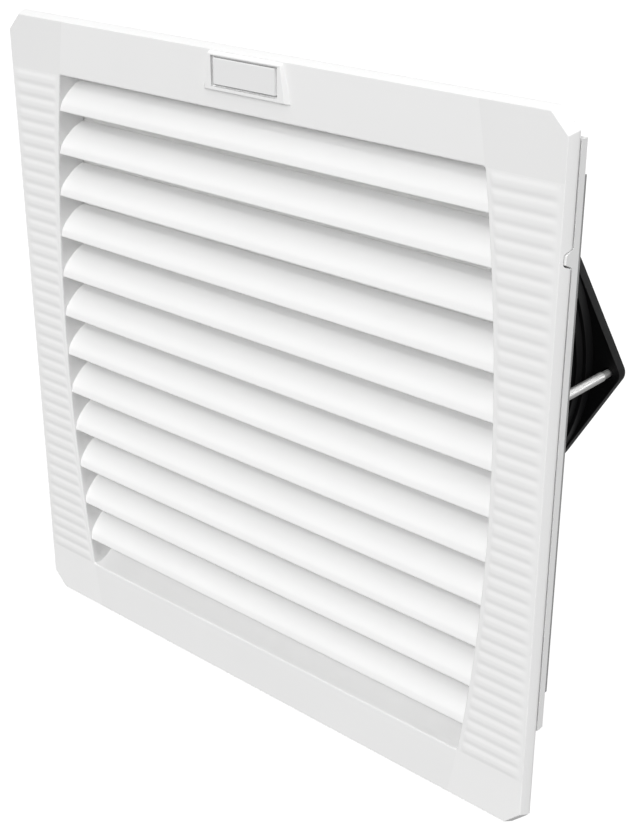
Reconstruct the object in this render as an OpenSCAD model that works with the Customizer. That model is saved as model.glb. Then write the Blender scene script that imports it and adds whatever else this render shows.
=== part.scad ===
// Cabinet filter fan: hinged louvre cover, base frame with panel clips and
// gasket, filter mat, support grid, funnel and a two-eared axial fan.
// Millimetres. +Z up, +Y into the cabinet, the cover looks along -Y.
// Origin: centre of the panel cut-out on the panel's outer face.

/* [Cover] */
// Outside width and height of the cover
cover_w = 250; // [240:1:260]
// Depth of the cover from its front face to its rear rim
cover_d = 4.5; // [4.3:0.1:5.5]
// Sideways run of the bevel round the front face
bevel_w = 1.2; // [0.8:0.1:1.6]
// Depth of that bevel
bevel_d = 3.2; // [2:0.1:3.6]
// Leg of the 45 degree corner cut on the front face
corner_cut = 6.2; // [4:0.2:10]
// Thickness of the cover's front plate
plate_t = 1.8; // [1.5:0.1:1.9]
// Thickness of the cover's rim wall
rim_t = 2; // [1.5:0.1:2.5]
// Parting gap between cover and base flange
part_gap = 0.7; // [0.3:0.05:0.8]
// Number of reeds on each side band
reed_n = 42; // [30:1:50]
// Height of the reeds over the front face
reed_h = 0.2; // [0.1:0.05:0.4]

/* [Louvre] */
// Height of the louvre opening
open_h = 208; // [204:1:209]
// Width of the louvre opening at mid height
open_w = 208.2; // [204:0.2:209]
// How far the opening's sides curve in at its corners
open_sag = 7.9; // [4:0.1:12]
// Number of whole slats
slat_n = 12; // [10:1:12]
// Vertical pitch of the slats
slat_pitch = 16.65; // [16:0.05:17]
// From the opening's top edge down to the first slat's lower edge
slat_first = 13.9; // [12:0.1:15]
// Depth of a slat
slat_d = 12; // [11:0.1:12.2]

/* [Base] */
// Thickness of the base flange
flange_t = 3.1; // [2.9:0.1:3.6]
// Thickness of the panel gasket
gasket_t = 1.6; // [1.2:0.1:1.7]
// Outside width of the collar that enters the panel cut-out
collar_w = 222; // [220:0.5:222.5]
// Wall of the collar
collar_t = 3; // [2.5:0.1:3.2]
// Depth of the collar behind the panel face
collar_d = 19; // [18.8:0.1:19.4]
// Radius of the four screw holes in the flange
hole_r = 2.25; // [2:0.05:2.5]
// Sideways distance between the screw holes
hole_sx = 232; // [231:0.5:233]
// Height between the screw holes
hole_sz = 220; // [216:0.5:222]
// Thickness of the filter mat
mat_t = 12; // [9:0.5:12]

/* [Hinge] */
// Radius of the two hinge pins
pin_r = 0.9; // [0.8:0.05:1]
// Height of the hinge axis
hinge_z = -120; // [-120.5:0.1:-119.5]

/* [Fan] */
// Length of the fan over its two ears
fan_len = 172; // [170:1:174]
// Diameter of the fan's flanges
fan_dia = 150; // [148:1:150]
// Depth of the fan
fan_d = 51; // [51:0.1:51.5]
// Distance between the two ear holes
ear_span = 162; // [160:0.5:163]
// Thickness of each fan flange
ear_t = 4.5; // [4:0.1:5]
// Radius of the two long fan screws
rod_r = 1.9; // [1.6:0.05:1.95]
// Number of impeller blades
blade_n = 7; // [5:1:9]
// Pitch angle of the blades
blade_a = 38; // [30:1:45]

/* [Hidden] */
$fn = 96;
hw = cover_w/2;
y_fr = -gasket_t;                       // flange rear face
y_ff = y_fr - flange_t;                 // flange front face
yr = y_ff - part_gap;                   // cover rear rim
yf = yr - cover_d;                      // cover front face
y_in = yf + plate_t;                    // inner face of the cover's plate
oh = open_h/2;
ow = open_w/2;
open_R = (oh*oh + open_sag*open_sag)/(2*open_sag);
web_y = yf + slat_d;                    // rear edge of the louvre web
cw = collar_w/2;
ci = cw - collar_t;
hinge_y = yr - 0.9;
lug_x = 88;                             // middle of each hinge knuckle
fan_y = 52;                             // front face of the fan
fan_s = fan_y - 53;                     // shift of the motor with the fan
fan_r = fan_dia/2;
ear_x = ear_span/2;
tip_r = fan_len/2 - ear_x;
fan_b = fan_y + fan_d;                  // rear face of the fan
tube_ro = 71.5;
tube_ri = 69;
tab_z = 81.3;                           // middle of the side tabs
strip_lo = -84.8;
strip_hi = 116;
mouth_r = 104;                          // radius of the funnel's mouth

// ---- helpers: extrusions along each axis -------------------------------
module ext_y(a, b) { translate([0, b, 0]) rotate([90, 0, 0]) linear_extrude(b - a) children(); }  // flat shape in x,z
module ext_x(a, b) { translate([a, 0, 0]) rotate([90, 0, 90]) linear_extrude(b - a) children(); } // flat shape in y,z
module ext_z(a, b) { translate([0, 0, a]) linear_extrude(b - a) children(); }                     // flat shape in x,y
module rod_y(a, b, r) { translate([0, b, 0]) rotate([90, 0, 0]) cylinder(r = r, h = b - a); }
module rod_x(a, b, r) { translate([a, 0, 0]) rotate([0, 90, 0]) cylinder(r = r, h = b - a); }
module box(a, b) { translate(a) cube([b[0] - a[0], b[1] - a[1], b[2] - a[2]]); }
module oct(h, c) {
  polygon([[-h + c, -h], [h - c, -h], [h, -h + c], [h, h - c],
           [h - c, h], [-h + c, h], [-h, h - c], [-h, -h + c]]);
}

// two-eared fan outline: a disc of radius r with tangent ears of tip radius t to both sides
function eared_points(r, t) = let (a = acos((r - t)/ear_x)) concat(
  [for (i = [-5 : 5]) [ear_x + t*cos(a*i/5), t*sin(a*i/5)]],
  [for (i = [0 : 36]) let (b = a + (180 - 2*a)*i/36) [r*cos(b), r*sin(b)]],
  [for (i = [-5 : 5]) let (b = 180 + a*i/5) [-ear_x + t*cos(b), t*sin(b)]],
  [for (i = [0 : 36]) let (b = 180 + a + (180 - 2*a)*i/36) [r*cos(b), r*sin(b)]]);
module eared(r, t) { polygon(eared_points(r, t)); }

// ---- cover --------------------------------------------------------------
module cover_block() {
  df = (2*(hw - bevel_w) - corner_cut)/sqrt(2);
  intersection() {
    ext_z(-hw - 5, hw + 5) polygon([[-hw + bevel_w, yf], [hw - bevel_w, yf], [hw, yf + bevel_d],
                                    [hw, yr], [-hw, yr], [-hw, yf + bevel_d]]);
    ext_x(-hw - 5, hw + 5) polygon([[yf, -hw + bevel_w], [yf, hw - bevel_w], [yf + bevel_d, hw],
                                    [yr, hw], [yr, -hw], [yf + bevel_d, -hw]]);
    rotate([0, 45, 0]) ext_z(-2*hw, 2*hw) polygon([[-df, yf], [df, yf], [df + 1.35*bevel_w, yf + bevel_d],
                                    [df + 1.35*bevel_w, yr], [-df - 1.35*bevel_w, yr], [-df - 1.35*bevel_w, yf + bevel_d]]);
    rotate([0, -45, 0]) ext_z(-2*hw, 2*hw) polygon([[-df, yf], [df, yf], [df + 1.35*bevel_w, yf + bevel_d],
                                    [df + 1.35*bevel_w, yr], [-df - 1.35*bevel_w, yr], [-df - 1.35*bevel_w, yf + bevel_d]]);
  }
}

// louvre opening grown by g, from y = a to y = b
module opening(a, b, g) {
  intersection() {
    box([-hw, a, -oh - g], [hw, b, oh + g]);
    for_side(-1, a, b, g);
    for_side(1, a, b, g);
  }
}
module for_side(s, a, b, g) {
  translate([s*(open_R - ow), 0, 0]) rod_y(a, b, open_R + g, $fn = 720);
}

module slat_profile() {
  polygon([[1.6, 0], [1.05, 0.4], [0.86, 1], [0.98, 1.8], [1.5, 3.2], [2.9, 5.2], [4.6, 7], [6.9, 8.9], [9.5, 10.4], [slat_d, 11.2],
           [slat_d, 9.6], [9.3, 8.7], [6.7, 7], [4.6, 4.95], [3.2, 2.9], [2.4, 0]]);
}

module slats() {
  intersection() {
    union() {
      for (i = [0 : slat_n - 1])
        translate([0, yf, oh - slat_first - i*slat_pitch]) ext_x(-ow - 2, ow + 2) slat_profile();
      // sill that rises behind the opening's lower edge
      translate([0, yf, -oh]) ext_x(-ow - 2, ow + 2)
        polygon([[0.3, -1.5], [0.3, 0], [4, 1.8], [7.6, 3.5], [slat_d, 4.8], [slat_d, -1.5]]);
    }
    opening(yf - 1, web_y + 1, 1);
  }
}

// reeds of the two side bands, between the opening's sides and the outer bevel
module reeds() {
  run = 2*oh - 0.7;
  p = run/reed_n;
  intersection() {
    ext_x(-hw, hw) polygon(concat(
      [for (k = [0 : 4*reed_n]) [yf - 0.02 - reed_h*pow(sin(45*k), 2), -oh + k*p/4]],
      [[yf + 0.5, -oh + run], [yf + 0.5, -oh]]));
    difference() {
      box([-hw + bevel_w + 0.9, yf - 1, -oh - 1], [hw - bevel_w - 0.9, yf + 1, oh + 1]);
      opening(yf - 2, yf + 2, 2);
    }
  }
}

module tab_shape(c) {
  polygon([[y_ff + 0.1, tab_z - 3 - c], [yf + 1.7 - c, tab_z - 1.4 - c],
           [yf + 1.7 - c, tab_z + 1.4 + c], [y_ff + 0.1, tab_z + 3 + c]]);
}

module louvre_cover() {
  color("white") {
    difference() {
      union() {
        difference() {
          cover_block();
          ext_y(y_in, yr + 1) oct(hw - rim_t, corner_cut);
        }
        opening(yf + 0.9, web_y, 2);
        reeds();
        // raised pad for the badge
        ext_y(yf - 1.2, yf + 0.5)
          polygon([[-19.9, 110.3], [19.9, 110.3], [17.3, 123.4], [-17.3, 123.4]]);
        // hinge lugs on the inside of the bottom border
        for (x = [-lug_x, lug_x]) for (s = [-1, 1]) translate([x + s*6.5, 0, 0]) {
          translate([0, hinge_y, hinge_z]) rod_x(-2, 2, 1.9);
          box([-2, y_in - 0.2, hinge_z - 1.9], [2, hinge_y, hinge_z + 1.9]);
        }
      }
      opening(yf - 1, web_y + 1, 0);
      // recess for the badge plate
      box([-15.1, yf - 2, 111.75], [15.1, yf + 0.6, 122.15]);
      // notches over the side tabs
      ext_x(hw - 4, hw + 2) tab_shape(0.45);
      ext_x(-hw - 2, -hw + 4) tab_shape(0.45);
      for (x = [-lug_x, lug_x]) translate([x, hinge_y, hinge_z]) rod_x(-10, 10, pin_r + 0.01);
    }
    slats();
  }
}

module badge_plate() {
  color("whitesmoke") box([-14.3, yf - 1.1, 112.55], [14.3, yf + 0.6, 121.35]);
}

module hinge_pins() {
  color("silver") for (x = [-lug_x, lug_x]) translate([x, hinge_y, hinge_z]) rod_x(-8.4, 8.4, pin_r);
}

module cover_latch() {
  color("gainsboro") for (x = [-60, 60]) translate([x, 0, 0])
    ext_x(-6, 6) polygon([[y_in, 116.6], [y_in, 119.4], [y_in + 1, 118.6], [y_ff + 1, 118.4], [y_ff + 1.6, 119],
                          [y_ff + 2.5, 118.4], [y_ff + 2.5, 117.2], [y_in + 1, 117.2]]);
}

// ---- base ---------------------------------------------------------------
module flange_outline() {
  polygon([[-115.5, -117.5], [115.5, -117.5], [121.5, -111.5], [121.5, strip_lo], [hw, strip_lo],
           [hw, strip_hi], [121.5, strip_hi], [117, 121.5],
           [-117, 121.5], [-121.5, strip_hi], [-hw, strip_hi],
           [-hw, strip_lo], [-121.5, strip_lo], [-121.5, -111.5]]);
}

module screw_holes(a, b) {
  for (x = [-1, 1]) for (z = [-1, 1]) translate([x*hole_sx/2, 0, z*hole_sz/2]) rod_y(a, b, hole_r);
}

module base_frame() {
  color("whitesmoke") difference() {
    union() {
      ext_y(y_ff, y_fr) flange_outline();
      ext_y(y_fr - 0.5, collar_d) oct(cw, 7);
      ext_x(hw - 1.8, hw) tab_shape(0);
      ext_x(-hw, -hw + 1.8) tab_shape(0);
      // hinge knuckles
      for (x = [-lug_x, lug_x]) translate([x, 0, 0]) {
        translate([0, hinge_y, hinge_z]) rod_x(-4, 4, 1.75);
        box([-4, hinge_y - 1, hinge_z], [4, y_ff + 0.5, hinge_z + 6]);
      }
    }
    difference() {
      ext_y(y_ff - 1, collar_d + 1) oct(ci, 5.2);
      // corner gussets that take the funnel screws
      for (a = [0, 90, 180, 270]) rotate([0, a, 0])
        ext_y(3, collar_d + 2) polygon([[ci + 1, ci + 1], [ci - 16, ci + 1], [ci + 1, ci - 16]]);
    }
    screw_holes(y_ff - 1, y_fr + 1);
    for (x = [-1, 1]) for (z = [-1, 1]) translate([x*103, 0, z*103]) rod_y(8, collar_d + 1, 1.3);
    // windows for the latch tongues
    for (x = [-60, 60]) box([x - 8, y_ff - 1, 115.2], [x + 8, y_fr + 1, 120]);
    for (x = [-lug_x, lug_x]) translate([x, hinge_y, hinge_z]) rod_x(-6, 6, pin_r + 0.05);
    // rivet holes of the panel clips
    for (a = [0, 90, 180, 270]) rotate([0, a, 0]) translate([0, 12, 0]) rod_x(ci - 1, cw + 1, 1.52);
  }
}

module panel_gasket() {
  color("dimgray") difference() {
    ext_y(y_fr, 0) polygon([[-116, -116.5], [116, -116.5], [119.8, -112], [119.8, -71.4], [124.6, -71.4],
                            [124.6, 105], [119.8, 105], [119.8, 112.5], [113.5, 119.8], [-113.5, 119.8],
                            [-119.8, 112.5], [-119.8, 105], [-124.6, 105], [-124.6, -71.4], [-119.8, -71.4],
                            [-119.8, -112]]);
    box([-cw - 0.4, y_fr - 1, -cw - 0.4], [cw + 0.4, 1, cw + 0.4]);
    screw_holes(y_fr - 1, 1);
  }
}

module panel_clips() {
  color("silver") for (a = [0, 90, 180, 270]) rotate([0, a, 0]) difference() {
    ext_z(-7, 7) polygon([[cw + 0.05, 7], [cw + 0.05, 18.6], [cw + 0.75, 18.8], [116, 3.3], [115.2, 3.05],
                          [cw + 0.8, 16], [cw + 0.8, 7]]);
    translate([0, 12, 0]) rod_x(cw - 1, cw + 1.2, 1.52);
  }
}

module clip_rivets() {
  color("silver") for (a = [0, 90, 180, 270]) rotate([0, a, 0]) translate([0, 12, 0]) {
    rod_x(ci - 0.1, cw + 0.9, 1.5);
    rod_x(ci - 0.7, ci - 0.02, 2.6);
    rod_x(cw + 0.82, cw + 1.4, 2.2);
  }
}

module filter_mat() {
  color("lightgray") ext_y(web_y + 0.4, web_y + 0.4 + mat_t) oct(ci - 1.2, 18);
}

module mat_grid() {
  color("whitesmoke") difference() {
    ext_y(15, collar_d - 0.3) oct(ci - 1, 17.5);
    for (i = [-3.5 : 3.5]) for (j = [-3.5 : 3.5]) if (abs(i) + abs(j) < 7)
      translate([i*25.6, 0, j*25.6]) box([-11.3, 14, -11.3], [11.3, collar_d + 1, 11.3]);
  }
}

// flat frame on the collar's rear edge, round the funnel's mouth
module funnel_frame() {
  color("dimgray") difference() {
    ext_y(collar_d, collar_d + 3) oct(cw - 1.5, 6);
    rod_y(collar_d - 1, collar_d + 4, mouth_r + 2.02);
    for (x = [-1, 1]) for (z = [-1, 1]) translate([x*103, 0, z*103]) rod_y(collar_d - 1, collar_d + 4, 1.75);
  }
}

module fan_funnel() {
  r1 = 72;
  color("dimgray") difference() {
    union() {
      rod_y(collar_d, collar_d + 2.2, mouth_r + 2);
      translate([0, fan_y - 3, 0]) rotate([90, 0, 0]) cylinder(r1 = r1 + 2, r2 = mouth_r + 2, h = fan_y - 5 - collar_d);
      ext_y(fan_y - 3, fan_y) eared(78, tip_r + 1);
    }
    translate([0, fan_y - 2.9, 0]) rotate([90, 0, 0]) cylinder(r1 = r1, r2 = mouth_r, h = fan_y - 5 - collar_d);
    rod_y(collar_d - 1, collar_d + 2.2, mouth_r);
    rod_y(fan_y - 6, fan_y + 1, 70);
    for (x = [-ear_x, ear_x]) translate([x, 0, 0]) rod_y(fan_y - 5, fan_y + 1, rod_r + 0.15);
  }
}

module funnel_screws() {
  color("silver") for (x = [-1, 1]) for (z = [-1, 1]) translate([x*103, 0, z*103]) difference() {
    union() {
      rod_y(9, collar_d + 3.5, 1.25);
      rod_y(collar_d + 3.02, collar_d + 5.2, 3);
    }
    // cross recess
    box([-1.7, collar_d + 4, -0.4], [1.7, collar_d + 6, 0.4]);
    box([-0.4, collar_d + 4, -1.7], [0.4, collar_d + 6, 1.7]);
  }
}

// ---- fan ----------------------------------------------------------------
module fan_frame() {
  color("black") difference() {
    union() {
      ext_y(fan_y, fan_y + ear_t) eared(fan_r, tip_r);
      ext_y(fan_b - ear_t, fan_b) eared(fan_r, tip_r);
      rod_y(fan_y, fan_b, tube_ro);
      // two steps of the ring in front of its rear flange
      rod_y(fan_b - ear_t - 4.8, fan_b - 1, 74.4);
      rod_y(fan_b - ear_t - 8.8, fan_b - 1, 72.8);
    }
    rod_y(fan_y - 1, fan_b + 1, tube_ri);
    for (x = [-ear_x, ear_x]) translate([x, 0, 0]) rod_y(fan_y - 1, fan_b + 1, rod_r + 0.15);
  }
}

// four struts, the motor base and its bearing tube
module motor_bracket() {
  color("black") difference() {
    union() {
      intersection() {
        for (a = [45, 135, 225, 315]) rotate([0, a, 0]) box([28, fan_b - 5.5, -3], [tube_ri + 1, fan_b - 0.5, 3]);
        rod_y(fan_b - 6, fan_b, tube_ri - 0.02);
      }
      rod_y(fan_b - 5, fan_b, 34);
      rod_y(68 + fan_s, fan_b - 3, 12);
    }
    rod_y(67 + fan_s, 76.5 + fan_s, 9.52);
    rod_y(76 + fan_s, 90.5 + fan_s, 7.5);
    rod_y(89.9 + fan_s, fan_b - 5, 9.52);
  }
}

module fan_screws() {
  color("silver") for (x = [-ear_x, ear_x]) translate([x, 0, 0]) difference() {
    union() {
      rod_y(fan_y - 6.2, fan_b - 8.6, rod_r);
      rod_y(fan_b - 9, fan_b + 2.2, rod_r - 0.35);
      rod_y(fan_b + 1.95, fan_b + 2.5, 2.9);
      translate([0, fan_b + 2.5, 0]) rotate([-90, 0, 0]) cylinder(r1 = 2.9, r2 = 1.5, h = 0.9);
    }
    box([-1.5, fan_b + 2.7, -0.35], [1.5, fan_b + 4, 0.35]);
    box([-0.35, fan_b + 2.7, -1.5], [0.35, fan_b + 4, 1.5]);
  }
}

module fan_nuts() {
  color("silver") for (x = [-ear_x, ear_x]) translate([x, 0, 0]) difference() {
    translate([0, fan_y - 3.02, 0]) rotate([90, 0, 0]) rotate([0, 0, 30]) cylinder(r = 3.7, h = 2.6, $fn = 6);
    rod_y(fan_y - 8, fan_y, rod_r + 0.02);
  }
}

module wire_ring(r, w) { rotate([90, 0, 0]) rotate_extrude() translate([r, 0]) circle(r = w, $fn = 24); }

module finger_guard() {
  yw = fan_b + 1;
  color("silver") {
    for (r = [22, 33, 44, 55, 66]) translate([0, yw + 1.5, 0]) wire_ring(r, 1);
    translate([0, yw, 0]) for (a = [0, 180]) rotate([0, a, 0]) rod_x(20, 78.9, 0.95);
    translate([0, yw, 0]) for (a = [90, 270]) rotate([0, a, 0]) rod_x(20, 67.5, 0.95);
    for (x = [-ear_x, ear_x]) translate([x, yw, 0]) wire_ring(2.95, 0.9);
  }
}

module bearing(y) {
  color("silver") difference() {
    rod_y(y, y + 6, 9.5);
    rod_y(y - 1, y + 7, 3.03);
    // shield grooves on both faces
    for (s = [y - 1, y + 5.6]) difference() { rod_y(s, s + 1.4, 8); rod_y(s - 1, s + 3, 4.6); }
  }
}
module front_bearing() { bearing(69 + fan_s); }
module rear_bearing() { bearing(90 + fan_s); }

module preload_spring() {
  color("silver") translate([0, fan_s, 0]) difference() { rod_y(75.1, 76.4, 9.3); rod_y(74, 78, 7.2); }
}

module stator_core() {
  color("gray") translate([0, fan_s, 0]) difference() {
    rod_y(70, 90, 33);
    rod_y(69, 91, 12.02);
    // winding slots
    for (a = [0 : 30 : 330]) rotate([0, a, 0]) box([17, 69, -2.2], [29, 91, 2.2]);
  }
}

module stator_winding() {
  color("peru") translate([0, fan_s, 0]) for (y = [63.2, 90.2]) difference() {
    rod_y(y, y + 6.6, 30);
    rod_y(y - 1, y + 8, 15);
  }
}

module motor_cap() {
  color("black") difference() {
    rod_y(fan_b, fan_b + 0.8, 17);
    rod_y(fan_b + 0.4, fan_b + 2, 14);
  }
}

module terminal_block() {
  color("black") difference() {
    box([-14, fan_y + 8, -86], [14, fan_y + 22, -68]);
    rod_y(fan_y, fan_b, tube_ro + 0.02);
    for (x = [-8, 0, 8]) translate([x, fan_y + 15, 0]) box([-3.3, -0.45, -90], [3.3, 0.45, -74]);
  }
}

module terminal_tabs() {
  color("gold") for (x = [-8, 0, 8]) translate([x, fan_y + 15, 0]) difference() {
    box([-3.15, -0.4, -94], [3.15, 0.4, -74.2]);
    translate([0, 0, -90.5]) rod_y(-1, 1, 0.9);
  }
}

// ---- rotor --------------------------------------------------------------
module rotor_cup() {
  color("dimgray") translate([0, fan_s, 0]) difference() {
    rod_y(57, 95, 41);
    difference() { rod_y(60, 96, 34); rod_y(59, 66, 8); }
    rod_y(56, 67, 3.01);
  }
}

module impeller() {
  color("black") translate([0, fan_s, 0]) difference() {
    union() {
      rod_y(56.2, 95.5, 43);
      intersection() {
        union() for (i = [0 : blade_n - 1]) rotate([0, i*360/blade_n, 0])
          translate([0, 76, 0]) rotate([blade_a, 0, 0]) box([40, -30, -1.1], [70, 30, 1.1]);
        difference() { rod_y(58, 95, 66.5); rod_y(55, 97, 42); }
      }
    }
    rod_y(56.98, 97, 41.02);
    rod_y(55, 58, 20);
  }
}

module rotor_shaft() {
  color("silver") translate([0, fan_s, 0]) difference() {
    rod_y(57.2, 98.4, 3);
    difference() { rod_y(96.4, 97.2, 4); rod_y(96, 98, 2.6); }
  }
}

module shaft_circlip() {
  color("gray") translate([0, fan_s, 0]) difference() {
    rod_y(96.45, 97.15, 4.8);
    rod_y(96, 98, 2.62);
    box([-1, 96, 0], [1, 98, 6]);
  }
}

louvre_cover();
badge_plate();
hinge_pins();
cover_latch();
base_frame();
panel_gasket();
panel_clips();
clip_rivets();
filter_mat();
mat_grid();
funnel_frame();
fan_funnel();
funnel_screws();
fan_frame();
motor_bracket();
fan_screws();
fan_nuts();
finger_guard();
front_bearing();
rear_bearing();
preload_spring();
stator_core();
stator_winding();
motor_cap();
terminal_block();
terminal_tabs();
rotor_cup();
impeller();
rotor_shaft();
shaft_circlip();
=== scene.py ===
import math

import bmesh
import bpy
from mathutils import Matrix, Vector, noise


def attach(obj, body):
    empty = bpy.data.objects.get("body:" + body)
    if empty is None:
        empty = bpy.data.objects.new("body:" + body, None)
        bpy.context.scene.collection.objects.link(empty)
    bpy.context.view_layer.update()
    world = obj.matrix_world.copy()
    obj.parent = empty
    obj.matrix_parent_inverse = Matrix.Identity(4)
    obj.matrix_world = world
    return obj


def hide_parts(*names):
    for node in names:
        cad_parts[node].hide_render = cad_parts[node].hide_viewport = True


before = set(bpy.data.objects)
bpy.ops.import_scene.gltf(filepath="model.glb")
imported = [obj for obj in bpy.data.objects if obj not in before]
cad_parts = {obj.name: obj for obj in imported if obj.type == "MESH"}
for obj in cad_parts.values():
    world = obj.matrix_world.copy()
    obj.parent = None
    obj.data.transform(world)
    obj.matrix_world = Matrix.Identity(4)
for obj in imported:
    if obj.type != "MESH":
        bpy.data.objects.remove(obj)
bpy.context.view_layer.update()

scene = bpy.context.scene
MM = 0.001

# ---- planes and sizes shared with the CAD, in millimetres ------------------
YF = -9.9            # front face of the cover
YIN = -8.1           # inner face of the cover's plate
YR = -5.4            # rear rim of the cover
WEB = 2.1            # rear edge of the louvre web
HW = 125.0           # half width over the bevel
FACE = 123.8         # half width of the front face
CUT = 6.2            # corner cut of the front face
OH, OW, SAG = 104.0, 104.1, 7.9
RAD = (OH * OH + SAG * SAG) / (2 * SAG)
FAN0, FAN1 = 52.0, 103.0


# ---- small geometry helpers ------------------------------------------------
def lin(a, b, n):
    return [a + (b - a) * i / n for i in range(n + 1)]


def arc_x(z, g=0.0):
    """Half width of the louvre opening at height z, grown by g."""
    return math.sqrt((RAD + g) ** 2 - z * z) - (RAD - OW)


def shell(verts, faces):
    bm = bmesh.new()
    vs = [bm.verts.new(v) for v in verts]
    for f in faces:
        bm.faces.new([vs[i] for i in f])
    bmesh.ops.recalc_face_normals(bm, faces=bm.faces)
    return bm


def loft(loops, join=False):
    """Skin over closed loops of equal length. join runs on from the last loop to the first, else both ends are capped."""
    n, m = len(loops[0]), len(loops)
    verts = [p for lp in loops for p in lp]
    faces = []
    for a in range(m if join else m - 1):
        b = (a + 1) % m
        for i in range(n):
            j = (i + 1) % n
            faces.append((a * n + i, a * n + j, b * n + j, b * n + i))
    if not join:
        faces.append(tuple(range(n - 1, -1, -1)))
        faces.append(tuple((m - 1) * n + i for i in range(n)))
    return shell(verts, faces)


def prism(points, lo, hi, axis="y"):
    """Flat outline pushed along an axis: x,z outlines along y, y,z outlines along x, x,y outlines along z."""
    def place(u, v, w):
        return {"y": (u, w, v), "x": (w, u, v), "z": (u, v, w)}[axis]
    return loft([[place(u, v, lo) for u, v in points], [place(u, v, hi) for u, v in points]])


def box(lo, hi):
    return prism([(lo[0], lo[2]), (hi[0], lo[2]), (hi[0], hi[2]), (lo[0], hi[2])], lo[1], hi[1])


def lathe(profile, n=96, cx=0.0, cz=0.0, solid=False):
    """Outline of (radius, y) turned about a line along y. solid outlines begin and end on the line."""
    loops = []
    for k in range(n):
        a = 2 * math.pi * k / n
        loops.append([(cx + r * math.cos(a), y, cz + r * math.sin(a)) for r, y in profile])
    bm = loft(loops, join=True)
    if solid:
        bmesh.ops.remove_doubles(bm, verts=bm.verts, dist=1e-4)
        loose = [f for f in bm.faces if f.calc_area() < 1e-9]
        bmesh.ops.delete(bm, geom=loose, context="FACES_ONLY")
        bmesh.ops.recalc_face_normals(bm, faces=bm.faces)
    return bm


def tube(points, r, n=12, closed=False):
    pts = [Vector(p) for p in points]
    m = len(pts)
    loops = []
    normal = None
    for i in range(m):
        if closed:
            t = (pts[(i + 1) % m] - pts[i - 1]).normalized()
        else:
            t = (pts[min(i + 1, m - 1)] - pts[max(i - 1, 0)]).normalized()
        if normal is None:
            normal = t.orthogonal().normalized()
            if closed:
                normal = Vector((0, 1, 0)) - t * t.y
                normal.normalize()
        normal = (normal - t * normal.dot(t)).normalized()
        side = t.cross(normal)
        loops.append([tuple(pts[i] + (normal * math.cos(2 * math.pi * k / n) + side * math.sin(2 * math.pi * k / n)) * r)
                      for k in range(n)])
    return loft(loops, join=closed)


def curve_through(pts, per=6):
    """Smooth run of points through the given ones."""
    out = []
    for i in range(len(pts) - 1):
        p0 = pts[max(i - 1, 0)]
        p1, p2 = pts[i], pts[i + 1]
        p3 = pts[min(i + 2, len(pts) - 1)]
        for k in range(per):
            t = k / per
            out.append(tuple(0.5 * (2 * b + (c - a) * t + (2 * a - 5 * b + 4 * c - d) * t * t
                                    + (3 * b - a - 3 * c + d) * t ** 3)
                             for a, b, c, d in zip(p0, p1, p2, p3)))
    out.append(tuple(pts[-1]))
    return out


def bend(p0, p1, p2, n):
    return [tuple((1 - t) ** 2 * a + 2 * t * (1 - t) * b + t * t * c for a, b, c in zip(p0, p1, p2)) for t in lin(0, 1, n)]


def soften(bm, width, segs=2, angle=30.0):
    """Rounds every edge sharper than angle."""
    es = [e for e in bm.edges if len(e.link_faces) == 2 and e.calc_face_angle(0.0) > math.radians(angle)]
    bmesh.ops.bevel(bm, geom=es, offset=width, segments=segs, profile=0.5, affect="EDGES", clamp_overlap=True)
    return bm


def turned(bm, angle, about=(0.0, 0.0, 0.0), axis="Y"):
    bmesh.ops.rotate(bm, cent=about, matrix=Matrix.Rotation(math.radians(angle), 3, axis), verts=bm.verts)
    return bm


def as_object(bm, name="tmp"):
    me = bpy.data.meshes.new(name)
    bm.to_mesh(me)
    bm.free()
    ob = bpy.data.objects.new(name, me)
    scene.collection.objects.link(ob)
    return ob


def cut(bm, cutters, op="DIFFERENCE"):
    """The solid with every cutter taken away, or joined on."""
    ob = as_object(bm)
    tools = [as_object(c) for c in cutters]
    for t in tools:
        m = ob.modifiers.new("cut", "BOOLEAN")
        m.operation = op
        m.solver = "EXACT"
        m.object = t
    dg = bpy.context.evaluated_depsgraph_get()
    me = bpy.data.meshes.new_from_object(ob.evaluated_get(dg))
    out = bmesh.new()
    out.from_mesh(me)
    bpy.data.meshes.remove(me)
    for o in [ob] + tools:
        old = o.data
        bpy.data.objects.remove(o)
        bpy.data.meshes.remove(old)
    bmesh.ops.remove_doubles(out, verts=out.verts, dist=1e-4)
    return out


def piece(name, bms, mat, body, node, sharp=40.0, weighted=True):
    """One visible piece from its solids, in place of a CAD node and moving with a CAD body."""
    whole = bmesh.new()
    for bm in bms:
        me = bpy.data.meshes.new("part")
        bm.to_mesh(me)
        bm.free()
        whole.from_mesh(me)
        bpy.data.meshes.remove(me)
    bmesh.ops.scale(whole, vec=(MM, MM, MM), verts=whole.verts)
    me = bpy.data.meshes.new(name)
    whole.to_mesh(me)
    whole.free()
    me.materials.append(mat)
    me.polygons.foreach_set("use_smooth", [True] * len(me.polygons))
    me.set_sharp_from_angle(angle=math.radians(sharp))
    ob = bpy.data.objects.new(name, me)
    scene.collection.objects.link(ob)
    if weighted:
        wn = ob.modifiers.new("normals", "WEIGHTED_NORMAL")
        wn.keep_sharp = True
    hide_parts(*([node] if isinstance(node, str) else node))
    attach(ob, body)
    return ob


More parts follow.
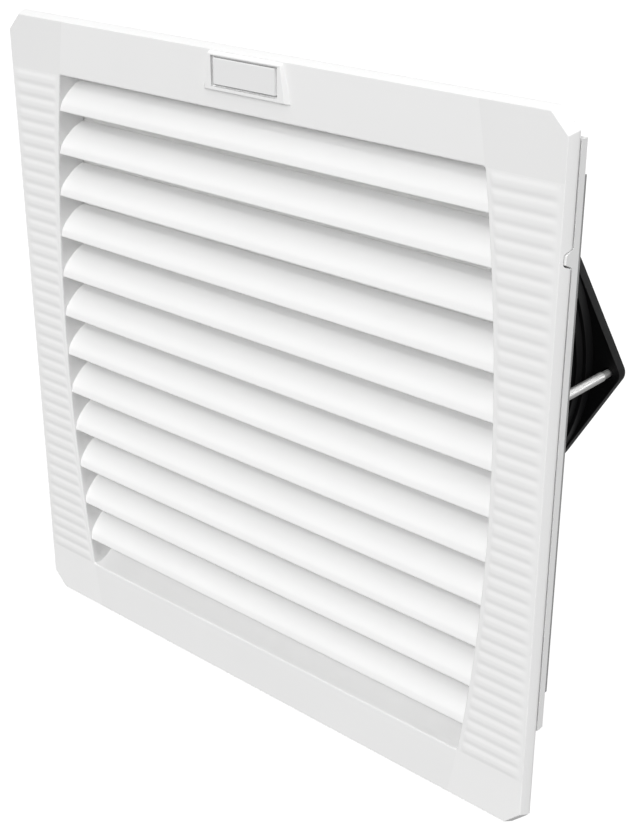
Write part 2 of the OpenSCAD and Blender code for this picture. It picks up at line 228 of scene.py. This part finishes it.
# ---- materials -------------------------------------------------------------
def material(name, colour, rough, metallic=0.0, spread=0.03, grain=900.0, bump=0.04, depth=0.0002,
             stretch=(1, 1, 1), rough_spread=0.06, extra=None):
    """Moulded, painted or plated surface: a slow drift in tone, a fine grain in the relief and in the gloss."""
    mat = bpy.data.materials.new(name)
    mat.use_nodes = True
    nt = mat.node_tree
    bsdf = nt.nodes["Principled BSDF"]
    bsdf.inputs["Metallic"].default_value = metallic
    co = nt.nodes.new("ShaderNodeTexCoord")
    mp = nt.nodes.new("ShaderNodeMapping")
    mp.inputs["Scale"].default_value = stretch
    nt.links.new(co.outputs["Object"], mp.inputs["Vector"])
    slow = nt.nodes.new("ShaderNodeTexNoise")
    slow.inputs["Scale"].default_value = 22.0
    slow.inputs["Detail"].default_value = 4.0
    nt.links.new(co.outputs["Object"], slow.inputs["Vector"])
    ramp = nt.nodes.new("ShaderNodeValToRGB")
    ramp.color_ramp.elements[0].position = 0.3
    ramp.color_ramp.elements[1].position = 0.7
    ramp.color_ramp.elements[0].color = tuple(c * (1 - spread) for c in colour) + (1,)
    ramp.color_ramp.elements[1].color = tuple(min(1.0, c * (1 + spread)) for c in colour) + (1,)
    nt.links.new(slow.outputs["Fac"], ramp.inputs["Fac"])
    nt.links.new(ramp.outputs["Color"], bsdf.inputs["Base Color"])
    fine = nt.nodes.new("ShaderNodeTexNoise")
    fine.inputs["Scale"].default_value = grain
    fine.inputs["Detail"].default_value = 3.0
    nt.links.new(mp.outputs["Vector"], fine.inputs["Vector"])
    gloss = nt.nodes.new("ShaderNodeMapRange")
    gloss.inputs["To Min"].default_value = max(0.02, rough - rough_spread)
    gloss.inputs["To Max"].default_value = min(1.0, rough + rough_spread)
    nt.links.new(fine.outputs["Fac"], gloss.inputs["Value"])
    nt.links.new(gloss.outputs["Result"], bsdf.inputs["Roughness"])
    bp = nt.nodes.new("ShaderNodeBump")
    bp.inputs["Strength"].default_value = bump
    bp.inputs["Distance"].default_value = depth
    nt.links.new(fine.outputs["Fac"], bp.inputs["Height"])
    nt.links.new(bp.outputs["Normal"], bsdf.inputs["Normal"])
    for key, value in (extra or {}).items():
        bsdf.inputs[key].default_value = value
    return mat


M = {
    "cover_white": material("cover_white", (0.90, 0.90, 0.898), 0.44, spread=0.008, grain=1500, bump=0.05, depth=0.00008,
                            extra={"Specular IOR Level": 0.35}),
    "base_white": material("base_white", (0.90, 0.90, 0.897), 0.46, spread=0.012, grain=1400, bump=0.06, depth=0.0001,
                           extra={"Specular IOR Level": 0.35}),
    "badge": material("badge", (0.87, 0.87, 0.87), 0.34, spread=0.006, grain=2200, bump=0.03, depth=0.00005),
    "gasket": material("gasket", (0.36, 0.36, 0.362), 0.85, spread=0.12, grain=1600, bump=0.5, depth=0.0003),
    "funnel": material("funnel", (0.035, 0.036, 0.038), 0.42, spread=0.12, grain=1100, bump=0.08, depth=0.0001),
    "fan_black": material("fan_black", (0.006, 0.006, 0.0065), 0.46, spread=0.25, grain=1300, bump=0.12, depth=0.0001,
                          extra={"Specular IOR Level": 0.3}),
    "black_plastic": material("black_plastic", (0.014, 0.014, 0.015), 0.46, spread=0.25, grain=1200, bump=0.08, depth=0.0001),
    "steel": material("steel", (0.84, 0.84, 0.83), 0.40, 0.85, spread=0.05, grain=700, bump=0.03, depth=0.0001),
    "spring_steel": material("spring_steel", (0.55, 0.55, 0.54), 0.32, 1.0, spread=0.06, grain=500, bump=0.05,
                             depth=0.0001, stretch=(1, 1, 6)),
    "guard_wire": material("guard_wire", (0.62, 0.61, 0.58), 0.24, 1.0, spread=0.05, grain=600, bump=0.03, depth=0.0001),
    "lamination": material("lamination", (0.30, 0.30, 0.31), 0.45, 1.0, spread=0.08, grain=120, bump=0.6, depth=0.0004,
                           stretch=(0.02, 18, 0.02)),
    "copper": material("copper", (0.62, 0.24, 0.09), 0.34, 0.85, spread=0.10, grain=160, bump=0.8, depth=0.0006,
                       stretch=(3, 12, 3)),
    "brass": material("brass", (0.72, 0.54, 0.25), 0.30, 1.0, spread=0.05, grain=700, bump=0.04, depth=0.0001),
    "rotor_steel": material("rotor_steel", (0.20, 0.20, 0.21), 0.38, 1.0, spread=0.08, grain=400, bump=0.06,
                            depth=0.0001, stretch=(1, 8, 1)),
}


def fleece():
    """Needled fibre mat: crossing strands in tone and relief over a soft cloudy base."""
    mat = bpy.data.materials.new("fleece")
    mat.use_nodes = True
    nt = mat.node_tree
    bsdf = nt.nodes["Principled BSDF"]
    bsdf.inputs["Roughness"].default_value = 0.95
    bsdf.inputs["Specular IOR Level"].default_value = 0.15
    bsdf.inputs["Sheen Weight"].default_value = 0.25
    co = nt.nodes.new("ShaderNodeTexCoord")
    strands = None
    for k, turn in enumerate((0.35, 1.25, 2.2)):
        mp = nt.nodes.new("ShaderNodeMapping")
        mp.inputs["Rotation"].default_value = (0, turn, 0)
        mp.inputs["Scale"].default_value = (1, 4, 16)
        nt.links.new(co.outputs["Object"], mp.inputs["Vector"])
        nz = nt.nodes.new("ShaderNodeTexNoise")
        nz.inputs["Scale"].default_value = 130.0
        nz.inputs["Detail"].default_value = 3.0
        nz.inputs["Distortion"].default_value = 0.6
        nt.links.new(mp.outputs["Vector"], nz.inputs["Vector"])
        if strands is None:
            strands = nz.outputs["Fac"]
        else:
            top = nt.nodes.new("ShaderNodeMath")
            top.operation = "MAXIMUM"
            nt.links.new(strands, top.inputs[0])
            nt.links.new(nz.outputs["Fac"], top.inputs[1])
            strands = top.outputs["Value"]
    ramp = nt.nodes.new("ShaderNodeValToRGB")
    ramp.color_ramp.elements[0].position = 0.42
    ramp.color_ramp.elements[1].position = 0.78
    ramp.color_ramp.elements[0].color = (0.80, 0.80, 0.79, 1)
    ramp.color_ramp.elements[1].color = (0.92, 0.92, 0.91, 1)
    nt.links.new(strands, ramp.inputs["Fac"])
    nt.links.new(ramp.outputs["Color"], bsdf.inputs["Base Color"])
    bp = nt.nodes.new("ShaderNodeBump")
    bp.inputs["Strength"].default_value = 0.7
    bp.inputs["Distance"].default_value = 0.0008
    nt.links.new(strands, bp.inputs["Height"])
    nt.links.new(bp.outputs["Normal"], bsdf.inputs["Normal"])
    return mat


M["fleece"] = fleece()


def painted_field_shading(mat):
    """Painted shading on the plain fields over and under the reeds, split from the plate along the opening's side arcs:
    the tone is scaled with height, darker in the upper fields and lighter in the lower ones.
    """
    nt = mat.node_tree
    bsdf = nt.nodes["Principled BSDF"]
    tone = bsdf.inputs["Base Color"].links[0].from_socket
    co = nt.nodes.new("ShaderNodeTexCoord")
    sep = nt.nodes.new("ShaderNodeSeparateXYZ")
    nt.links.new(co.outputs["Object"], sep.inputs["Vector"])

    def calc(op, a, b=None):
        n = nt.nodes.new("ShaderNodeMath")
        n.operation = op
        for socket, v in zip(n.inputs, (a, b)):
            if isinstance(v, (int, float)):
                socket.default_value = v
            elif v is not None:
                nt.links.new(v, socket)
        return n.outputs["Value"]

    x, y, z = sep.outputs["X"], sep.outputs["Y"], sep.outputs["Z"]
    arc = calc("SQRT", calc("SUBTRACT", (RAD * MM) ** 2, calc("MULTIPLY", z, z)))
    beyond = calc("GREATER_THAN", calc("SUBTRACT", calc("ABSOLUTE", x), arc), (OW - RAD) * MM)
    ends = calc("GREATER_THAN", calc("ABSOLUTE", z), OH * MM)
    front = calc("LESS_THAN", y, (YF + 0.3) * MM)
    field = calc("MULTIPLY", calc("MULTIPLY", beyond, ends), front)
    # painted shade and light: the tone is scaled by height, darker at the top fields, lighter at the bottom ones
    level = calc("ADD", calc("MULTIPLY", field, calc("SUBTRACT", calc("MULTIPLY", z, -0.24), 0.005)), 1.0)
    part = nt.nodes.new("ShaderNodeVectorMath")
    part.operation = "SCALE"
    nt.links.new(tone, part.inputs["Vector"])
    nt.links.new(level, part.inputs["Scale"])
    nt.links.new(part.outputs["Vector"], bsdf.inputs["Base Color"])


# painted shading of the plain fields on the cover's face, darker at the top, lighter at the bottom
painted_field_shading(M["cover_white"])


def painted_groove_shade(mat, x0, x1, z0, z1):
    """Painted shade: a dark line runs round the plate outside the given field, standing in for the shade in the groove
    round the badge.
    """
    nt = mat.node_tree
    bsdf = nt.nodes["Principled BSDF"]
    tone = bsdf.inputs["Base Color"].links[0].from_socket
    co = nt.nodes.new("ShaderNodeTexCoord")
    sep = nt.nodes.new("ShaderNodeSeparateXYZ")
    nt.links.new(co.outputs["Object"], sep.inputs["Vector"])
    inside = None
    for axis, op, limit in (("X", "GREATER_THAN", x0), ("X", "LESS_THAN", x1), ("Z", "GREATER_THAN", z0), ("Z", "LESS_THAN", z1)):
        n = nt.nodes.new("ShaderNodeMath")
        n.operation = op
        nt.links.new(sep.outputs[axis], n.inputs[0])
        n.inputs[1].default_value = limit * MM
        if inside is None:
            inside = n.outputs["Value"]
        else:
            both = nt.nodes.new("ShaderNodeMath")
            both.operation = "MULTIPLY"
            nt.links.new(inside, both.inputs[0])
            nt.links.new(n.outputs["Value"], both.inputs[1])
            inside = both.outputs["Value"]
    # painted shade: the tone drops to 0.45 outside the field
    level = nt.nodes.new("ShaderNodeMath")
    level.operation = "MULTIPLY_ADD"
    nt.links.new(inside, level.inputs[0])
    level.inputs[1].default_value = 0.55
    level.inputs[2].default_value = 0.45
    part = nt.nodes.new("ShaderNodeVectorMath")
    part.operation = "SCALE"
    nt.links.new(tone, part.inputs["Vector"])
    nt.links.new(level.outputs["Value"], part.inputs["Scale"])
    nt.links.new(part.outputs["Vector"], bsdf.inputs["Base Color"])


# painted shade of the groove round the badge plate
painted_groove_shade(M["badge"], -14.25, 14.1, 112.75, 121.4)


# ---- the cover -------------------------------------------------------------
NS, NT, NK = 56, 24, 6


def mirrored(quarter_right, quarter_corner, top):
    """Full loop from the right side (bottom to top), the upper right corner and the top edge (right to left)."""
    right, corner = quarter_right, quarter_corner
    loop = list(right) + list(corner) + list(top)
    loop += [(-x, z) for x, z in reversed(corner)]
    loop += [(-x, z) for x, z in reversed(right)]
    loop += [(-x, -z) for x, z in corner]
    loop += [(-x, -z) for x, z in top]
    loop += [(x, -z) for x, z in reversed(corner)]
    return loop


def open_loop(g, y, rf=1.0):
    h = OH + g
    zs = h - rf
    xs, xt = arc_x(zs, g), arc_x(h, g)
    right = [(arc_x(z, g), z) for z in lin(-zs, zs, NS)]
    corner = bend((xs, zs), (xt, h), (xt - rf, h), NK)[1:-1]
    corner = [(p[0], p[1]) for p in corner]
    top = [(x, h) for x in lin(xt - rf, rf - xt, NT)]
    return [(x, y, z) for x, z in mirrored(right, corner, top)]


def outer_loop(half, leg, y):
    right = [(half, z) for z in lin(leg - half, half - leg, NS)]
    corner = [(half - leg * k / NK, half - leg + leg * k / NK) for k in range(1, NK)]
    top = [(x, half) for x in lin(half - leg, leg - half, NT)]
    return [(x, y, z) for x, z in mirrored(right, corner, top)]


leg_out = CUT + 0.1
ring = loft([
    outer_loop(FACE, CUT, YF),
    outer_loop(HW, leg_out, YF + 3.2),
    outer_loop(HW, leg_out, YR),
    outer_loop(HW - 2.0, leg_out - 1.17, YR),
    outer_loop(HW - 2.0, leg_out - 1.17, YIN),
    open_loop(2.0, YIN),
    open_loop(2.0, WEB + 0.2),
    open_loop(0.0, WEB + 0.2),
    open_loop(0.0, YF + 0.55),
    open_loop(0.16, YF + 0.16),
    open_loop(0.55, YF),
], join=True)
soften(ring, 0.32, 2, 28.0)


def tab_outline(c):
    """Outline of a side tab grown by c, with rounded front corners."""
    z = 81.3
    a, b = (-4.6, z - 3 - c), (-8.2 - c, z - 1.4 - c)
    low = bend((b[0] + 0.9, b[1] - 0.4), b, (b[0], b[1] + 0.9), 5)
    half = [a] + [(q[0], q[1]) for q in low]
    return half + [(y, 2 * z - w) for y, w in reversed(half)]


def groove(sx, sz):
    """Shallow V along the run-out of the opening's side arc, fading at the outer edge."""
    loops = []
    for z, deep in [(OH - 0.6, 0.14), (OH + 2, 0.14), (OH + 7, 0.14), (OH + 12, 0.14), (OH + 16.5, 0.14), (OH + 18.6, 0.1), (OH + 19.5, -0.02)]:
        x, w = arc_x(z), 0.40
        e = w * (deep + 0.12) / 0.14
        loops.append([(sx * (x - e), YF - 0.12, sz * z), (sx * (x + e), YF - 0.12, sz * z), (sx * x, YF + deep, sz * z)])
    return loft(loops)


ring = cut(ring, [prism(tab_outline(0.45), 121.0, 127.0, "x"), prism(tab_outline(0.45), -127.0, -121.0, "x")]
           + [groove(sx, sz) for sx in (1, -1) for sz in (1, -1)])
cover = [ring]

# reeds of the two side bands, one rolling surface each, run out to the face at both ends
REEDS, RISE, RUN = 42, 0.22, 207.3
pitch = RUN / REEDS
rows = [-OH + RUN * k / (REEDS * 14) for k in range(REEDS * 14 + 1)]


def roll(z):
    """Height over the face across the reeds: broad crests, narrower rounded grooves."""
    c = 0.5 + 0.5 * math.cos(2 * math.pi * (z + OH) / pitch)
    return RISE * (1 - c ** 1.7)


ACROSS = ((0, 0.0, 0.0), (0, 0.25, 0.36), (0, 0.6, 0.68), (0, 1.1, 0.92), (0, 1.8, 1.0),
          (1, 3.6, 1.0), (1, 2.6, 0.9), (1, 1.7, 0.62), (1, 0.9, 0.27), (1, 0.35, 0.06), (1, 0.0, 0.0))
for s in (1, -1):
    loops = []
    for z in rows:
        pts = []
        for where, inset, scale in ACROSS:
            x = (arc_x(z) + 1.7 + inset) if where == 0 else (FACE - 0.9 - inset)
            pts.append((s * x, YF - 0.012 - roll(z) * scale + (0.03 if scale == 0.0 else 0.0), z))
        loops.append(pts + [(p[0], YF + 0.4, p[2]) for p in (pts[-1], pts[0])])
    cover.append(loft(loops))

# slats
upper = curve_through([(0.84, 0.45), (1.0, 1.4), (1.5, 3.2), (2.85, 5.2), (4.6, 7.0), (6.9, 8.9), (9.5, 10.4), (12.0, 11.2)], 5)
under = curve_through([(12.0, 9.7), (9.3, 8.75), (6.7, 7.05), (4.6, 4.95), (3.3, 2.9), (2.6, 1.2), (2.45, 0.35)], 4)
lip = [(2.3, 0.12), (2.05, 0.0), (1.35, 0.0), (1.08, 0.05), (0.93, 0.16), (0.86, 0.3)]
profile = upper + under + lip
for i in range(12):
    base = OH - 13.9 - 16.65 * i
    poly = [(d, base + h) for d, h in profile]
    cover.append(loft([[(s * (arc_x(z) + 0.8), YF + d, z) for d, z in poly] for s in (-1, 1)]))

# sill that rises from the opening's lower edge
sill = curve_through([(0.1, -OH - 0.12), (1.2, -OH - 0.02), (4.0, -OH + 0.28), (7.6, -OH + 1.5), (12.0, -OH + 4.2)], 5)
sill += [(12.0, -OH - 0.9), (0.5, -OH - 0.9)]
cover.append(loft([[(s * (arc_x(max(-OH, z)) + 0.8), YF + d, z) for d, z in sill] for s in (-1, 1)]))

# raised pad with its recess
pad_loops = [
    [(-19.5, YF + 0.9, 110.6), (19.5, YF + 0.9, 110.6), (17.1, YF + 2.7, 123.5), (-17.1, YF + 2.7, 123.5)],
    [(-19.9, YF, 110.3), (19.9, YF, 110.3), (17.5, YF + 1.85, 124.44), (-17.5, YF + 1.85, 124.44)],
    [(-18.1, YF - 1.2, 110.7), (18.1, YF - 1.2, 110.7), (16.3, YF - 1.2, 122.6), (-16.3, YF - 1.2, 122.6)],
]
pad = soften(loft(pad_loops), 0.14, 2, 20.0)
pad = cut(pad, [box((-15.1, YF - 3, 111.75), (15.1, YF + 0.15, 122.15))])
cover.append(pad)

# hinge lugs
for x in (-88.0, 88.0):
    for s in (-1, 1):
        arc = [(-6.3 + 1.9 * math.sin(a), -120 + 1.9 * math.cos(a)) for a in lin(0, math.pi, 12)]
        outline = [(YIN - 0.2, -118.1)] + arc + [(YIN - 0.2, -121.9)]
        cover.append(soften(prism(outline, x + s * 6.5 - 2, x + s * 6.5 + 2, "x"), 0.2, 2))

# stiffening ribs behind the plain borders
for x in (-40.0, 0.0, 40.0):
    for z0, z1 in ((105.5, 123.4), (-123.4, -105.5)):
        cover.append(box((x - 0.7, YIN - 0.3, z0), (x + 0.7, -6.2, z1)))

piece("cover_shell", cover, M["cover_white"], "cover", "louvre_cover", sharp=42.0)

plate = []
for y, g in ((YF + 0.58, 0.0), (YF - 0.72, 0.0), (YF - 1.1, 0.38)):
    plate.append([(-14.35 + g, y, 112.25 + g), (13.95 - g, y, 112.25 + g), (13.95 - g, y, 121.5 - g), (-14.35 + g, y, 121.5 - g)])
piece("badge_face", [soften(loft(plate), 0.06, 2)], M["badge"], "cover", "badge_plate")


# ---- the filter mat --------------------------------------------------------
def mat_shape():
    half, leg, n = 106.6, 18.0, 28
    corners = [(half, leg - half), (half, half - leg), (half - leg, half), (leg - half, half),
               (-half, half - leg), (-half, leg - half), (leg - half, -half), (half - leg, -half)]
    rim = []
    for i, p in enumerate(corners):
        q = corners[(i + 1) % 8]
        rim += [(p[0] + (q[0] - p[0]) * k / n, p[1] + (q[1] - p[1]) * k / n) for k in range(n)]

    def lumps(x, z, seed):
        v = Vector((x * 0.045, seed, z * 0.045))
        w = Vector((x * 0.4, seed + 5, z * 0.4))
        return 0.6 * noise.noise(v) + 0.4 * noise.noise(w)

    loops = []
    rings = [k / 44 for k in range(1, 45)]
    for t in rings:
        edge = (1 - t) * half
        sink = 0.6 * math.exp(-edge / 0.8)
        loops.append([(x * t, 2.63 + sink - 0.12 * lumps(x * t, z * t, 1.0), z * t) for x, z in rim])
    for t in reversed(rings):
        edge = (1 - t) * half
        sink = 1.6 * math.exp(-edge / 1.6)
        loops.append([(x * t, 14.2 - sink + 0.25 * lumps(x * t, z * t, 9.0), z * t) for x, z in rim])
    return loft(loops)


mat_piece = piece("mat_fleece", [mat_shape()], M["fleece"], "housing", "filter_mat", sharp=80.0, weighted=False)


# ---- the fan ---------------------------------------------------------------
def eared(r, t, hole, ear=81.0):
    """Outline points of the two-eared plate, each with the point of the round hole on the same ray."""
    a = math.acos((r - t) / ear)
    half = [(ear + t * math.cos(a * i / 8), t * math.sin(a * i / 8)) for i in range(0, 9)]
    p, q = half[-1], (r * math.cos(a), r * math.sin(a))
    half += [(p[0] + (q[0] - p[0]) * k / 10, p[1] + (q[1] - p[1]) * k / 10) for k in range(1, 10)]
    half += [(r * math.cos(b), r * math.sin(b)) for b in lin(a, math.pi / 2, 30)]
    pts = half + [(-x, z) for x, z in reversed(half[:-1])]
    pts += [(x, -z) for x, z in reversed(pts[1:-1])]
    rays = []
    for x, z in pts:
        d = math.hypot(x, z)
        rays.append((x, z, x / d * hole, z / d * hole))
    return rays


def shrink(x, z, c, r=75.0, ear=81.0):
    """Moves a rim point in by c, towards the ear's middle or the axis."""
    cx = ear if x > ear - 3 else (-ear if x < 3 - ear else 0.0)
    if cx:
        d = math.hypot(x - cx, z)
        if d < 1e-6:
            return x, z
        return x - (x - cx) / d * c, z - z / d * c
    d = math.hypot(x, z)
    return x - x / d * c, z - z / d * c


def flange(y0, y1, hole0, hole1, c=0.28):
    rays = eared(75.0, 5.0, 1.0)
    loops = []

    def out(ins, y):
        return [shrink(x, z, ins) + (y,) for x, z, hx, hz in rays]

    def ins(r, y):
        return [(hx * r, hz * r, y) for x, z, hx, hz in rays]
    for lp in (out(c, y0), out(c * 0.3, y0 + c * 0.3), out(0, y0 + c), out(0, y1 - c), out(c * 0.3, y1 - c * 0.3), out(c, y1),
               ins(hole1, y1), ins((hole0 + hole1) / 2 - 0.3, (y0 + y1) / 2), ins(hole0, y0)):
        loops.append([(x, y, z) for x, z, y in lp])
    return loft(loops, join=True)


def holes():
    return [lathe([(0, 49), (2.1, 49), (2.1, 106), (0, 106)], 24, cx, 0, solid=True) for cx in (-81.0, 81.0)]


ring_side = [(69.0, 57.0), (69.2, 54.5), (70.3, 52.6), (71.2, 52.1), (71.5, 53.5), (71.5, 55.8), (72.6, 56.9), (72.6, 58.2),
             (71.9, 59.2), (71.5, 60.0), (71.5, 89.55), (71.65, 89.7), (72.65, 89.7), (72.8, 89.85), (72.8, 93.55), (72.95, 93.7),
             (74.25, 93.7), (74.4, 93.85), (74.4, 101.5), (71.2, 102.9), (70.3, 102.4), (69.2, 100.5), (69.0, 98.0)]
fan = [cut(flange(FAN0, FAN0 + 4.5, 71.0, 70.2), holes()), cut(flange(FAN1 - 4.5, FAN1, 70.2, 71.0), holes()), lathe(ring_side, 144)]
piece("fan_ring", fan, M["fan_black"], "housing", "fan_frame", sharp=50.0)

bracket = []
for a in (45, 135, 225, 315):
    strut = loft([[(x, 97.6, -w), (x, 97.6, w), (x, 99.6, w), (x, 102.4, w * 0.62), (x, 102.4, -w * 0.62), (x, 99.6, -w)]
                  for x, w in ((30.0, 3.4), (50.0, 2.7), (69.0, 3.0))])
    bracket.append(turned(soften(strut, 0.35, 2), a))
bracket.append(lathe([(12.0, 98.2), (33.0, 98.2), (33.8, 98.8), (34.0, 99.6), (34.0, 101.8), (33.4, 102.6), (32.2, 102.9),
                      (18.5, 102.9), (18.2, 102.4), (17.3, 102.4), (17.0, 102.95), (12.0, 102.95)], 96))
bracket.append(lathe([(9.55, 67.2), (11.7, 67.0), (12.0, 67.4), (12.0, 102.0), (7.5, 102.0), (7.5, 95.2), (9.55, 95.1), (9.55, 89.0),
                      (7.5, 89.0), (7.5, 75.5), (9.55, 75.5)], 72))
for k in range(4):
    bracket.append(turned(lathe([(0, 102.2), (2.0, 102.2), (2.0, 102.75), (1.7, 102.95), (0, 102.95)], 20, 26.0, 0, solid=True), 90 * k))
piece("bracket_spider", bracket, M["fan_black"], "housing", "motor_bracket", sharp=50.0)


# long screws through both ears
def threaded(r, y0, y1, pitch, depth, cx, n=20, per=6):
    loops = []
    steps = int((y1 - y0) / pitch * per)
    for i in range(steps + 1):
        y = y0 + (y1 - y0) * i / steps
        ends = min(1.0, (y - y0) / 1.2)
        ring = []
        for k in range(n):
            a = 2 * math.pi * k / n
            ph = ((y - y0) / pitch - k / n) % 1.0
            rr = (r - depth * abs(2 * ph - 1)) * (0.8 + 0.2 * ends)
            ring.append((cx + rr * math.cos(a), y, rr * math.sin(a)))
        loops.append(ring)
    return loft(loops)


rods = []
for cx in (-81.0, 81.0):
    rods.append(threaded(1.9, 45.8, 94.2, 0.7, 0.13, cx))
    rods.append(lathe([(0, 94.0), (1.55, 94.0), (1.55, 105.2), (0, 105.2)], 24, cx, 0, solid=True))
    head = lathe([(0, 104.95), (2.8, 104.95), (2.9, 105.1), (2.9, 105.45), (2.7, 105.85), (2.15, 106.18), (1.2, 106.36), (0, 106.4)],
                 40, cx, 0, solid=True)
    cross = [loft([[(cx - a, y, -b), (cx + a, y, -b), (cx + a, y, b), (cx - a, y, b)]
                   for y, a, b in ((105.5, p * 0.7, q * 0.7), (107.0, p, q))]) for p, q in ((1.5, 0.34), (0.34, 1.5))]
    rods.append(cut(head, cross))
piece("fan_rods", rods, M["steel"], "housing", "fan_screws", sharp=50.0, weighted=False)

# wire guard
guard = []
for r in (22, 33, 44, 55, 66):
    guard.append(tube([(r * math.cos(a), 105.5, r * math.sin(a)) for a in lin(0, 2 * math.pi, 120)[:-1]], 1.0, 12, True))
for s in (1, -1):
    guard.append(tube([(s * x, 104.0, 0) for x in lin(20.0, 78.9, 12)], 0.95, 12))
    guard.append(tube([(0, 104.0, s * z) for z in lin(20.0, 67.5, 10)], 0.95, 12))
    guard.append(tube([(s * 81 + 2.95 * math.cos(a), 104.0, 2.95 * math.sin(a)) for a in lin(0, 2 * math.pi, 32)[:-1]], 0.9, 12, True))
piece("guard_wires", guard, M["guard_wire"], "housing", "finger_guard", sharp=60.0, weighted=False)

# impeller with twisted, cambered blades
wheel = [lathe([(20.2, 55.25), (40.3, 55.25), (41.8, 55.6), (42.7, 56.4), (43.0, 57.6), (43.0, 94.2), (42.6, 94.45), (41.05, 94.45),
                (41.05, 56.0), (20.2, 56.0)], 144)]
for b in range(7):
    loops = []
    for r in lin(42.3, 66.3, 9):
        t = (r - 42.3) / 24.0
        beta = math.radians(31 + 13 * t)
        mid = 75.5
        span = 18.2 - 1.6 * t - 1.0 * t ** 4
        thick = 1.35 - 0.55 * t
        pts = []
        us = [math.cos(math.pi * k / 12) for k in range(13)]
        for side, seq in ((1, us), (-1, list(reversed(us))[1:-1])):
            for u in seq:
                y = mid + u * span
                arc_len = math.tan(beta) * u * span + 2.4 * (1 - u * u)
                arc_len += side * (0.35 + thick * math.sqrt(max(0.0, 1 - u * u)) * (1 - 0.25 * u))
                ang = arc_len / r + math.radians(-7.0) * t * t
                pts.append((r * math.cos(ang), y, r * math.sin(ang)))
        loops.append(pts)
    wheel.append(turned(loft(loops), 360.0 * b / 7))
piece("impeller_wheel", wheel, M["black_plastic"], "rotor", "impeller", sharp=50.0)


# ---- pieces kept from the CAD, with eased edges ----------------------------
def dress(node, slot, width=0.25, angle=32.0, segs=2):
    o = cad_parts[node]
    o.data.materials.clear()
    o.data.materials.append(M[slot])
    if "custom_normal" in o.data.attributes:
        o.data.attributes.remove(o.data.attributes["custom_normal"])
    o.data.polygons.foreach_set("use_smooth", [True] * len(o.data.polygons))
    w = o.modifiers.new("weld", "WELD")
    w.merge_threshold = 2e-6
    d = o.modifiers.new("flats", "DECIMATE")
    d.decimate_type = "DISSOLVE"
    d.angle_limit = math.radians(0.6)
    if width:
        b = o.modifiers.new("edges", "BEVEL")
        b.width = width * MM
        b.segments = segs
        b.limit_method = "ANGLE"
        b.angle_limit = math.radians(angle)
        b.use_clamp_overlap = True
    n = o.modifiers.new("normals", "WEIGHTED_NORMAL")
    n.keep_sharp = True
    return o


dress("hinge_pins", "steel", 0.12)
dress("cover_latch", "cover_white", 0.15)
dress("base_frame", "base_white", 0.3)
dress("panel_gasket", "gasket", 0.2)
dress("panel_clips", "spring_steel", 0.1)
dress("clip_rivets", "steel", 0.15)
dress("mat_grid", "base_white", 0.3)
dress("funnel_frame", "funnel", 0.3)
dress("fan_funnel", "funnel", 0.3)
dress("funnel_screws", "steel", 0.12)
dress("fan_nuts", "steel", 0.15)
dress("front_bearing", "steel", 0.1)
dress("rear_bearing", "steel", 0.1)
dress("preload_spring", "spring_steel", 0.1)
dress("stator_core", "lamination", 0.1)
dress("stator_winding", "copper", 1.2, segs=4)
dress("motor_cap", "black_plastic", 0.15)
dress("terminal_block", "black_plastic", 0.3)
dress("terminal_tabs", "brass", 0.1)
dress("rotor_cup", "rotor_steel", 0.5)
dress("rotor_shaft", "steel", 0.2)
dress("shaft_circlip", "spring_steel", 0.08)


# ---- floor, light and camera ----------------------------------------------
floor_mat = material("floor", (0.16, 0.16, 0.16), 0.9, spread=0.004, grain=300, bump=0.01, depth=0.0001,
                     extra={"Specular IOR Level": 0.0, "Emission Color": (1, 1, 1, 1), "Emission Strength": 0.96})
fm = bpy.data.meshes.new("floor")
fm.from_pydata([(-7, -7, -0.1256), (7, -7, -0.1256), (7, 7, -0.1256), (-7, 7, -0.1256)], [], [(0, 1, 2, 3)])
fm.materials.append(floor_mat)
floor = bpy.data.objects.new("floor", fm)
scene.collection.objects.link(floor)
floor.visible_diffuse = False
floor.visible_glossy = False
floor.visible_shadow = False

world = bpy.data.worlds.new("studio")
scene.world = world
world.use_nodes = True
world.node_tree.nodes["Background"].inputs["Color"].default_value = (1, 1, 1, 1)
world.node_tree.nodes["Background"].inputs["Strength"].default_value = 0.285


def softbox(name, place, target, size, power):
    li = bpy.data.lights.new(name, "AREA")
    li.shape = "RECTANGLE"
    li.size, li.size_y = size
    li.energy = power
    ob = bpy.data.objects.new(name, li)
    ob.location = place
    ob.rotation_euler = (Vector(target) - Vector(place)).to_track_quat("-Z", "Y").to_euler()
    ob.visible_camera = False
    scene.collection.objects.link(ob)
    return ob


def aim(azimuth, elevation, far):
    a, e = math.radians(azimuth), math.radians(elevation)
    return (far * math.sin(a) * math.cos(e), -far * math.cos(a) * math.cos(e), far * math.sin(e))


# level: what a white surface square to the light would return
for name, azimuth, elevation, far, size, level in (
        ("key", 14, 43, 14.0, 1.4, 0.17), ("fill", 8, 22, 14.0, 5.0, 0.475), ("side", 98, 25, 14.0, 6.7, 0.35),
        ("top", 0, 75, 14.0, 12.5, 0.35), ("rear", 172, 30, 14.0, 8.4, 0.22)):
    softbox(name, aim(azimuth, elevation, far), (0, 0, 0), (size, size), level * math.pi ** 2 * far ** 2)

scene.view_settings.view_transform = "Standard"
scene.view_settings.look = "None"
scene.view_settings.exposure = 0.0
scene.view_settings.gamma = 1.0

az, el = math.radians(41.604), math.radians(24.722)
right = Vector((math.cos(az), math.sin(az), 0))
ahead = Vector((-math.sin(az) * math.cos(el), math.cos(az) * math.cos(el), -math.sin(el)))
up = right.cross(ahead)
cam = bpy.data.cameras.new("camera")
cam.sensor_width = 36.0
cam.lens = 63.956
cam.clip_start, cam.clip_end = 0.01, 50.0
cam_ob = bpy.data.objects.new("camera", cam)
cam_ob.matrix_world = Matrix((
    (right.x, up.x, -ahead.x, 0.33900),
    (right.y, up.y, -ahead.y, -0.35669),
    (right.z, up.z, -ahead.z, 0.21794),
    (0, 0, 0, 1)))
scene.collection.objects.link(cam_ob)
scene.camera = cam_ob

bpy.context.view_layer.update()
